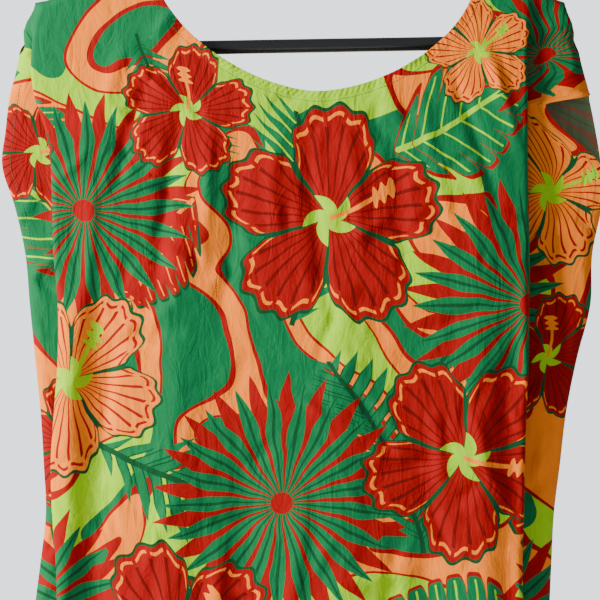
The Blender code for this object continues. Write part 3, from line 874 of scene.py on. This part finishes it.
# %% [markdown]
# A hibiscus bloom has five broad, ruffled petals, a throat of another colour and one long column of
# stamens. The angle round its middle is cut into five, and t runs from -1 to 1 across each petal, so
# that one formula draws all five.

# %% hibiscus


def bloom(node, colour, x, y, radius, angle, inks=("red", "apricot", "deep_red")):
    """Five petals. A petal's edge is at 0.97 - 0.42 |t|^2.6 plus a sine ruffle. Inside it lie a
    broken rim, veins that are bands of t, gaps between the petals, a throat and the stamens."""
    petal, rim_ink, vein_ink = inks
    t = sector(node, angle, 5, 0.5)
    wide = node("Math.POWER", node("Math.ABSOLUTE", t), 2.6)
    ruffle = node("Math.SINE", node("Math.MULTIPLY", angle, 27))
    edge = node("Math.MULTIPLY_ADD", wide, -0.42, 0.97)
    edge = node("Math.MULTIPLY_ADD", ruffle, 0.028, edge)
    inside = node("Math.SUBTRACT", edge, radius)
    within = node("Math.GREATER_THAN", inside, 0.0)
    colour = lay(node, colour, "deep_green", node("Math.GREATER_THAN", inside, -0.035))
    colour = lay(node, colour, petal, within)
    veins = node("Math.COMPARE", node("Math.FRACT", node("Math.MULTIPLY", t, 3.5)), 0.5, 0.11)
    rim = node("Math.COMPARE", inside, 0.07, 0.018)
    rim = node("Math.GREATER_THAN", node("Math.SUBTRACT", rim, veins), 0.5)
    colour = lay(node, colour, rim_ink, rim)
    deep = node("Math.GREATER_THAN", inside, 0.13)
    colour = lay(node, colour, vein_ink, node("Math.MULTIPLY", veins, deep))
    between = node("Math.GREATER_THAN", wide, 0.80)
    colour = lay(node, colour, "deep_green", node("Math.MULTIPLY", between, within))
    throat = node("Math.MULTIPLY_ADD", t, 0.08, 0.17)
    colour = lay(node, colour, "lime", node("Math.GREATER_THAN", throat, radius))
    # the stamens' column leans out of the throat and ends in a tuft
    middle = node("Math.MULTIPLY", node("Math.MULTIPLY", x, x), 0.35)
    aside = node("Math.ABSOLUTE", node("Math.SUBTRACT", y, middle))
    hairs = node("Math.SINE", node("Math.MULTIPLY", x, 75))
    tuft = node("Math.MULTIPLY_ADD", hairs, 0.03, 0.05)
    near_end = node("Math.GREATER_THAN", x, 0.42)
    width = node("Math.MULTIPLY_ADD", near_end, tuft, 0.022)
    column = node("Math.LESS_THAN", aside, width)
    span = node("Math.COMPARE", x, 0.32, 0.32)
    pollen = "lime" if petal == "apricot" else "apricot"
    return lay(node, colour, pollen, node("Math.MULTIPLY", column, span))


# %% [markdown]
# A fan palm's leaf is a wheel of narrow leaflets. The same cut angle makes them, and the half width
# of each shrinks with the distance left to its tip.

# %% fan palm


def fan(node, colour, x, y, radius, angle):
    """21 green leaflets that narrow to a point at the rim, each with a dark rib, over a second set
    in red, half a leaflet round, which shows between them. A leaflet's half width in t is
    2.1 times the distance left to its tip, up to a widest."""
    for ink, offset, reach, widest in (("red", 0.5, 1.02, 0.95), ("green", 0.0, 0.94, 0.74)):
        t = node("Math.ABSOLUTE", sector(node, angle, 21, offset))
        left = node("Math.SUBTRACT", reach, radius)
        width = node("Math.MINIMUM", node("Math.MULTIPLY", left, 2.1), widest)
        colour = lay(node, colour, ink, node("Math.GREATER_THAN", width, t))
    rib = node("Math.GREATER_THAN", node("Math.MULTIPLY", width, 0.2), t)
    colour = lay(node, colour, "deep_green", rib)
    return lay(node, colour, "red", node("Math.LESS_THAN", radius, 0.09))


# %% [markdown]
# A feather frond and a ribbed leaf grow from a midrib that bows. Their leaflets and ribs are bands
# of a slanted distance along it, so that they lean towards the tip as real ones do.

# %% fronds and leaves


def from_midrib(node, x, y, bow):
    """Distance from a midrib that bows as y = bow x^2."""
    bowed = node("Math.MULTIPLY", node("Math.MULTIPLY", x, x), bow)
    return node("Math.ABSOLUTE", node("Math.SUBTRACT", y, bowed))


def frond(node, colour, x, y, radius, angle):
    """Feather frond. With s = x - 0.8 |y|, leaflets are bands of s inside 0.56 sqrt(s (1 - s)), and
    each narrows to a point there."""
    aside = from_midrib(node, x, y, 0.30)
    s = node("Math.MULTIPLY_ADD", aside, -0.8, x)
    tip = node("Math.MULTIPLY", node("Math.SUBTRACT", 1.0, s), s)
    limit = node("Math.MULTIPLY", node("Math.SQRT", node("Math.MAXIMUM", tip, 0.0)), 0.56)
    part = node("Math.FRACT", node("Math.MULTIPLY", s, 13))
    t = node("Math.ABSOLUTE", node("Math.MULTIPLY_ADD", part, 2, -1))
    left = node("Math.MULTIPLY", node("Math.SUBTRACT", limit, aside), 7.0)
    for ink, widest in (("deep_green", 0.78), ("green", 0.58)):
        leaflets = node("Math.GREATER_THAN", node("Math.MINIMUM", left, widest), t)
        colour = lay(node, colour, ink, leaflets)
    span = node("Math.COMPARE", x, 0.5, 0.5)
    midrib = node("Math.MULTIPLY", node("Math.LESS_THAN", aside, 0.013), span)
    return lay(node, colour, "deep_green", midrib)


def leaf(node, colour, x, y, radius, angle, inks=("green", "red", "lime")):
    """Ribbed leaf. Its half width is 0.34 sin(pi x), less slits that are a sixth power of the
    distance from each rib, with an outline, slanting ribs and a midrib."""
    blade, outline, rib_ink = inks
    aside = from_midrib(node, x, y, 0.18)
    span = node("Math.MINIMUM", node("Math.MAXIMUM", x, 0.0), 1.0)
    half = node("Math.SINE", node("Math.MULTIPLY", span, math.pi))
    s = node("Math.MULTIPLY", node("Math.MULTIPLY_ADD", aside, -0.7, x), 7.5)
    t = node("Math.ABSOLUTE", node("Math.MULTIPLY_ADD", node("Math.FRACT", s), 2, -1))
    slit = node("Math.MULTIPLY_ADD", node("Math.POWER", t, 6), -0.16, node("Math.MULTIPLY", half, 0.34))
    left = node("Math.SUBTRACT", slit, aside)
    along = node("Math.COMPARE", x, 0.5, 0.5)
    around = node("Math.MULTIPLY", node("Math.GREATER_THAN", left, -0.03), along)
    colour = lay(node, colour, outline, around)
    colour = lay(node, colour, blade, node("Math.GREATER_THAN", left, 0.0))
    ribs = node("Math.LESS_THAN", node("Math.MINIMUM", node("Math.MULTIPLY", t, 0.16), aside), 0.016)
    deep = node("Math.GREATER_THAN", left, 0.02)
    return lay(node, colour, rib_ink, node("Math.MULTIPLY", ribs, deep))


# %% [markdown]
# Each drawing becomes a node group, so that a plant is one node with a place, a turn and a size. The
# layout is a table, in the order in which the plants are printed.

# %% the layout
DRAWINGS = {
    "bloom": (bloom, {}),
    "pale_bloom": (bloom, {"inks": ("apricot", "red", "red")}),
    "fan": (fan, {}),
    "frond": (frond, {}),
    "leaf": (leaf, {}),
    "red_leaf": (leaf, {"inks": ("red", "deep_green", "apricot")}),
}
# kind, across and height of its foot or middle, radius or length in mm, turn in degrees
LAYOUT = (
    ("leaf", -250, -420, 170, 118), ("leaf", 70, -290, 150, 20), ("red_leaf", 250, -520, 170, 250),
    ("red_leaf", -60, -700, 160, 205), ("leaf", -300, -230, 130, 300), ("leaf", 200, -760, 150, 150),
    ("red_leaf", -110, -330, 120, 230), ("frond", -20, -450, 190, 72), ("frond", 240, -330, 190, 215),
    ("frond", -200, -560, 210, -30), ("frond", 100, -660, 190, 100), ("frond", -165, -180, 130, -75),
    ("frond", 300, -640, 170, 120), ("fan", 200, -430, 118, 70), ("fan", -212, -345, 108, 200),
    ("fan", -30, -612, 118, 310), ("fan", 235, -200, 85, 150), ("fan", 270, -740, 110, 20),
    ("fan", -270, -720, 110, 100), ("bloom", 14, -352, 104, 15), ("pale_bloom", -226, -500, 88, 50),
    ("bloom", 138, -572, 96, -20), ("bloom", -118, -252, 62, 80), ("pale_bloom", 285, -325, 74, 10),
    ("bloom", -128, -742, 96, 40), ("bloom", -300, -290, 58, 0), ("pale_bloom", 60, -785, 80, 60),
    ("pale_bloom", 152, -196, 52, 30), ("bloom", 308, -480, 60, 90), ("bloom", -306, -560, 62, 20),
)
print(len(LAYOUT), "plants from", len(DRAWINGS), "drawings")

# %% plant groups


def new_group(name, **inputs):
    """A node group with one colour out. The inputs are named with their kinds."""
    group = bpy.data.node_groups.new(name, "ShaderNodeTree")
    for label, kind in inputs.items():
        group.interface.new_socket(label, in_out="INPUT", socket_type="NodeSocket" + kind)
    group.interface.new_socket("Colour", in_out="OUTPUT", socket_type="NodeSocketColor")
    return group, partial(add_node, group), group.nodes.new("NodeGroupInput").outputs


def finish_group(group, colour):
    """Sends the last colour out of the group."""
    group.links.new(colour.outputs[0], group.nodes.new("NodeGroupOutput").inputs[0])
    return group


def plant_group(name, draw, options):
    """A plant over what is below it. Mapping undoes the plant's place, turn and size, so that the
    drawing sees its own coordinates: x and y, their distance from its foot, and their angle."""
    places = {"Flat": "Vector", "Place": "Vector", "Turn": "Vector", "Size": "Vector"}
    group, node, given = new_group(name, Below="Color", **places)
    moved = node("Mapping", *[given[label] for label in places], vector_type="TEXTURE")
    x, y, _ = node("SeparateXYZ", moved).outputs
    radius = node("VectorMath.LENGTH", moved).outputs["Value"]
    angle = node("Math.ARCTAN2", y, x)
    return finish_group(group, draw(node, given["Below"], x, y, radius, angle, **options))


plant_groups = {name: plant_group(name, *drawing) for name, drawing in DRAWINGS.items()}
print("nodes:", {name: len(group.nodes) for name, group in plant_groups.items()})

# %% the whole design


def printed_design():
    """A group whose colour is the whole design at a place on the flat cloth, in metres: patches of
    ink along the contours of two noises, then the plants in order."""
    group, node, given = new_group("tropical print", Flat="Vector")
    # hand-cut screens are never quite even: a soft noise moves every edge by up to 2 mm
    waver = node("TexNoise", given[0], None, 26.0, 1.0)
    shift = node("VectorMath.SUBTRACT", waver.outputs["Color"], (0.5, 0.5, 0.5))
    flat = node("VectorMath.MULTIPLY_ADD", shift, (0.008, 0.008, 0.0), given[0])
    # a noise takes its place, scale, detail, roughness and, after three left alone, distortion
    patches = node("TexNoise", flat, None, 5.0, 1.0, 0.4, None, None, None, 0.9)
    moved = node("Mapping", flat, (3.1, 1.7, 0))
    streams = node("TexNoise", moved, None, 6.2, 0.0, 0.4, None, None, None, 1.4)
    colour = node("RGB")
    colour.outputs[0].default_value = linear(INKS["lime"])
    colour = lay(node, colour, "green", node("Math.LESS_THAN", patches, 0.41))
    for ink, level in (("red", 0.475), ("apricot", 0.50), ("red", 0.64), ("green", 0.665)):
        colour = lay(node, colour, ink, node("Math.GREATER_THAN", streams, level))
    for kind, across, height, size, turn in LAYOUT:
        # the group is set first, because a group node has no sockets before that
        plant = group.nodes.new("ShaderNodeGroup")
        plant.node_tree = plant_groups[kind]
        group.links.new(colour.outputs[0], plant.inputs["Below"])
        group.links.new(flat.outputs[0], plant.inputs["Flat"])
        plant.inputs["Place"].default_value = (across * MM, height * MM, 0)
        plant.inputs["Turn"].default_value = (0, 0, math.radians(turn))
        plant.inputs["Size"].default_value = (size * MM,) * 3
        colour = plant
    return finish_group(group, colour)


design = printed_design()
print("the design has", len(design.nodes), "nodes")

# %% [markdown]
# ## Cotton
#
# The cloth is a light plain-woven cotton of about 0.3 mm a thread. That is finer than a pixel here,
# so the weave is drawn at 0.9 mm and kept faint. The inks are flat but the cloth under them isn't:
# it has a slight mottle, a soft sheen from its fibres, small creases that run mostly down the cloth,
# and fine puckers across the 7 mm between the neck's stitching and its edge. The large creases are
# in the mesh already, and only what is finer than its grid is left to the bumps.

# %% cotton material
THREAD_SPACING = 0.000888
PUCKER_SPACING = 0.0052
# a wave texture goes through one turn of its sine in 2 pi / 20 units at scale 1
WAVE_UNIT = 2 * math.pi / 20


def new_material(name):
    """A named material, its node adder and its Principled shader's sockets."""
    made = bpy.data.materials.new(name)
    made.use_nodes = True
    tree = made.node_tree
    return made, partial(add_node, tree), tree.links, tree.nodes["Principled BSDF"].inputs


def cotton(name, wrong_side):
    """Plain-woven cotton with the print. The weave is one sine times another, crossed, and every
    bump is a height in metres when its strength is 1."""
    made, node, links, shader = new_material(name)
    flat = node("UVMap", uv_map="flat_cloth")
    colour = made.node_tree.nodes.new("ShaderNodeGroup")
    colour.node_tree = design
    links.new(flat.outputs[0], colour.inputs[0])
    if wrong_side:
        # the wrong side shows the inks through the threads: paler and greyer
        colour = node("MixRGB", 0.30, colour, linear("#c9bf96"))
    mottle = node("TexNoise", flat, None, 60.0, 3.0)
    shade = node("Math.MULTIPLY_ADD", mottle, 0.24, 0.88)
    colour = node("MixRGB", 1.0, colour, shade, blend_type="MULTIPLY")
    links.new(colour.outputs[0], shader["Base Color"])
    shader["Roughness"].default_value = 0.82
    shader["Specular IOR Level"].default_value = 0.15
    shader["Sheen Weight"].default_value = 0.03
    scale = WAVE_UNIT / THREAD_SPACING
    warp, weft = (node("TexWave", flat, scale, 0.4, bands_direction=way).outputs["Fac"] for way in "XY")
    weave = node("Math.MULTIPLY", warp, weft)
    # creases that run down the cloth: a noise drawn out to three times its width
    drawn_out = node("Mapping", flat, None, (0, 0, 0.12), (1.0, 0.34, 1.0))
    creases = node("TexNoise", drawn_out, None, 62.0, 3.0, 0.55, None, None, None, 1.2)
    crumple = node("TexNoise", flat, None, 90.0, 3.0, 0.6, None, None, None, 0.6)
    near_neck = node("Attribute", attribute_name="near_neck").outputs["Fac"]
    along_neck = node("Attribute", attribute_name="along_neck").outputs["Fac"]
    # the band between the neck's edge and its stitches is raised and puckers on a slant
    slant = node("Math.MULTIPLY_ADD", near_neck, 0.6, along_neck)
    pucker = node("Math.SINE", node("Math.MULTIPLY", slant, 2 * math.pi / PUCKER_SPACING))
    band = node("Math.COMPARE", near_neck, 0.0032, 0.0034)
    raised = node("Math.MULTIPLY", node("Math.MULTIPLY_ADD", pucker, 0.35, 0.8), band)
    normal = None
    for height, strength, distance in (
        (weave, 0.10, 0.0003),
        (crumple, 0.22, 0.0022),
        (creases, 0.55, 0.0040),
        (raised, 0.9, 0.0006),
    ):
        normal = node("Bump", strength, distance, None, height, normal)
    links.new(normal.outputs[0], shader["Normal"])
    return made


cotton_right = cotton("printed cotton lawn", wrong_side=False)
cotton_wrong = cotton("printed cotton lawn, wrong side", wrong_side=True)
for piece in (front_panel, back_panel):
    piece.data.materials.append(cotton_right)
    piece.data.materials.append(cotton_wrong)
facing.data.materials.append(cotton_right)
print("cotton has", len(cotton_right.node_tree.nodes), "nodes")

# %% [markdown]
# ## Thread, lacquer and wire
#
# The thread is a spun polyester in dark green. The hanger is beech under a satin black lacquer,
# whose faint waves come from the grain below it. The hook is steel wire with a black coating.

# %% other materials


def plain_finish(name, colour, roughness, grain, depth, stretch=(1, 1, 1), coat=0.0):
    """A painted or spun finish: one colour, a noise that varies its roughness, and a small bump."""
    made, node, links, shader = new_material(name)
    shader["Base Color"].default_value = linear(colour)
    shader["Coat Weight"].default_value = coat
    shader["Coat Roughness"].default_value = 0.15
    place = node("Mapping", node("TexCoord").outputs["Object"], None, None, stretch)
    lines = node("TexNoise", place, None, grain, 4.0, 0.6)
    links.new(node("Math.MULTIPLY_ADD", lines, 0.16, roughness - 0.08).outputs[0], shader["Roughness"])
    links.new(node("Bump", 0.4, depth, None, lines).outputs[0], shader["Normal"])
    return made


lacquer = plain_finish("satin black lacquer on beech", "#141416", 0.34, 260.0, 0.0002, (0.12, 1, 1), 0.3)
wire = plain_finish("black coated steel wire", "#111113", 0.30, 500.0, 0.00005)
thread = plain_finish("dark green polyester thread", "#1d5c38", 0.6, 900.0, 0.0001)
hanger_arms.data.materials.append(lacquer)
hanger_bar.data.materials.append(lacquer)
hanger_hook.data.materials.append(wire)
for row in stitching["front"] + stitching["back"]:
    row.data.materials.append(thread)
print("finishes:", ", ".join(finish.name for finish in (lacquer, wire, thread)))

# %% [markdown]
# ## Light and ground
#
# The photograph has soft daylight from the left, so a large softbox stands there, with a weaker one
# on the right and a pale surround. The floor is a pale disc below the hem, small enough to stay out
# of the close view.

# %% floor and surround
FLOOR_RADIUS = 1.0
FLOOR_HEIGHT = -0.97

floor_turns = np.linspace(0, 2 * math.pi, 64, endpoint=False)
disc = np.stack([np.cos(floor_turns), np.sin(floor_turns), 0 * floor_turns], -1) * FLOOR_RADIUS
floor = new_piece("floor", disc + (0, 0, FLOOR_HEIGHT), [list(range(64))])
paper, _, _, paper_shader = new_material("pale floor paper")
paper_shader["Base Color"].default_value = linear("#e6e6e4")
paper_shader["Roughness"].default_value = 0.9
floor.data.materials.append(paper)

world = bpy.data.worlds.new("pale surround")
bpy.context.scene.world = world
world.use_nodes = True
surround = world.node_tree.nodes["Background"]
surround.inputs["Color"].default_value = linear("#e9edf2")
# the surround is seen brighter than it lights the cloth, so that the light stays one-sided
seen = add_node(world.node_tree, "LightPath").outputs["Is Camera Ray"]
strength = add_node(world.node_tree, "Math.MULTIPLY_ADD", seen, 1.85, 0.42)
world.node_tree.links.new(strength.outputs[0], surround.inputs["Strength"])

# %% lights


def softbox(name, place, target, size, watts, tint):
    """A square area light that looks from its place at the target."""
    data = bpy.data.lights.new(name, "AREA")
    data.size = size
    data.energy = watts
    data.color = linear(tint)[:3]
    made = bpy.data.objects.new(name, data)
    ahead = unit(np.array(target) - np.array(place))
    made.location = place
    made.rotation_euler = (math.acos(-ahead[2]), 0, math.atan2(ahead[1], ahead[0]) - math.pi / 2)
    bpy.context.scene.collection.objects.link(made)
    print(name, watts, "W")


softbox("window", (-1.75, -0.95, 0.15), (0, 0, -0.42), 0.6, 118, "#fffaf2")
softbox("fill", (1.4, -1.6, -0.2), (0, 0, -0.45), 1.0, 3, "#eef4ff")
softbox("back light", (0.6, 1.6, 0.4), (0, 0, -0.42), 1.0, 12, "#ffffff")

# %% [markdown]
#
# Every piece rides on the part's one body, and the CAD node that it stands for is hidden. Each
# panel is cut 0.67 m by 0.72 m less its shoulder slope and neck, and the facing is a strip.

# %% ride and replace
NODES = (
    (front_panel, "front", "printed_cotton"),
    (back_panel, "back", "printed_cotton"),
    (facing, "neck_facing", "printed_cotton"),
    (hanger_arms, "hanger_arms", "black_lacquered_wood"),
    (hanger_bar, "hanger_bar", "black_lacquered_wood"),
    (hanger_hook, "hanger_hook", "black_wire"),
)
for piece, cad_node, slot in NODES:
    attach(piece, "root")
    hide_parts(cad_node)
for row in stitching["front"] + stitching["back"]:
    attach(row, "root")
print(len(NODES), "pieces for the CAD's nodes and", len(stitching["front"]) * 2, "rows of stitches")
